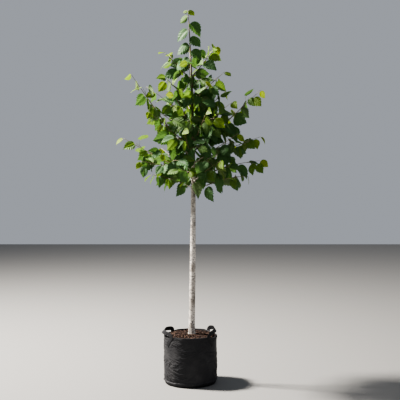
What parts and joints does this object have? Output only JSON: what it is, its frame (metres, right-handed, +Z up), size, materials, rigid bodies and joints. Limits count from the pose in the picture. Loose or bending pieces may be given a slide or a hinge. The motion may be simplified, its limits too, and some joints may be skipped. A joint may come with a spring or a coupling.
{
  "type": "sapling in fabric grow bag",
  "caption": "young standard broadleaf tree: a slender pale trunk under an open leafy head, growing in a round black fabric bag of compost with webbing handles",
  "frame": {"origin": "centre of the bag's flat underside, on the surface that the bag stands on", "axes": "+Z up along the trunk; +X to the right and +Y to the back as seen from the front, with one handle on -X and one on +X"},
  "size_m": [1.143, 0.9136, 2.8639],
  "materials": {
    "bark": "smooth pale grey bark with short dark cross marks",
    "shoot": "young brown bark",
    "leaf": null,
    "cloth": "black felted cloth with a slight sheen",
    "webbing": "black woven webbing",
    "compost": "dull reddish-brown bark and compost"
  },
  "bodies": {
    "root": {"bough_01": "shoot", "bough_02": "shoot", "bough_03": "shoot", "bough_04": "shoot", "bough_05": "shoot", "bough_06": "shoot", "bough_07": "shoot", "bough_08": "shoot", "bough_09": "shoot", "bough_10": "shoot", "bough_11": "shoot", "bough_12": "shoot", "bough_13": "shoot", "bough_14": "shoot", "bough_15": "shoot", "bough_16": "shoot", "bough_17": "shoot", "bough_18": "shoot", "bough_20": "shoot", "foliage_01": "leaf", "foliage_02": "leaf", "foliage_03": "leaf", "foliage_04": "leaf", "foliage_05": "leaf", "foliage_06": "leaf", "foliage_07": "leaf", "foliage_08": "leaf", "foliage_09": "leaf", "foliage_10": "leaf", "foliage_11": "leaf", "foliage_12": "leaf", "foliage_13": "leaf", "foliage_14": "leaf", "foliage_15": "leaf", "foliage_16": "leaf", "foliage_17": "leaf", "foliage_18": "leaf", "foliage_19": "leaf", "foliage_20": "leaf", "foliage_21": "leaf", "foliage_22": "leaf", "foliage_23": "leaf", "foliage_24": "leaf", "foliage_25": "leaf", "foliage_26": "leaf", "foliage_27": "leaf", "foliage_28": "leaf", "foliage_29": "leaf", "foliage_30": "leaf", "foliage_31": "leaf", "foliage_32": "leaf", "foliage_33": "leaf", "foliage_34": "leaf", "foliage_leader": "leaf", "grow_bag": "cloth", "handle_left": "webbing", "handle_right": "webbing", "soil": "compost", "trunk": "bark"}
  },
  "joints": []
}
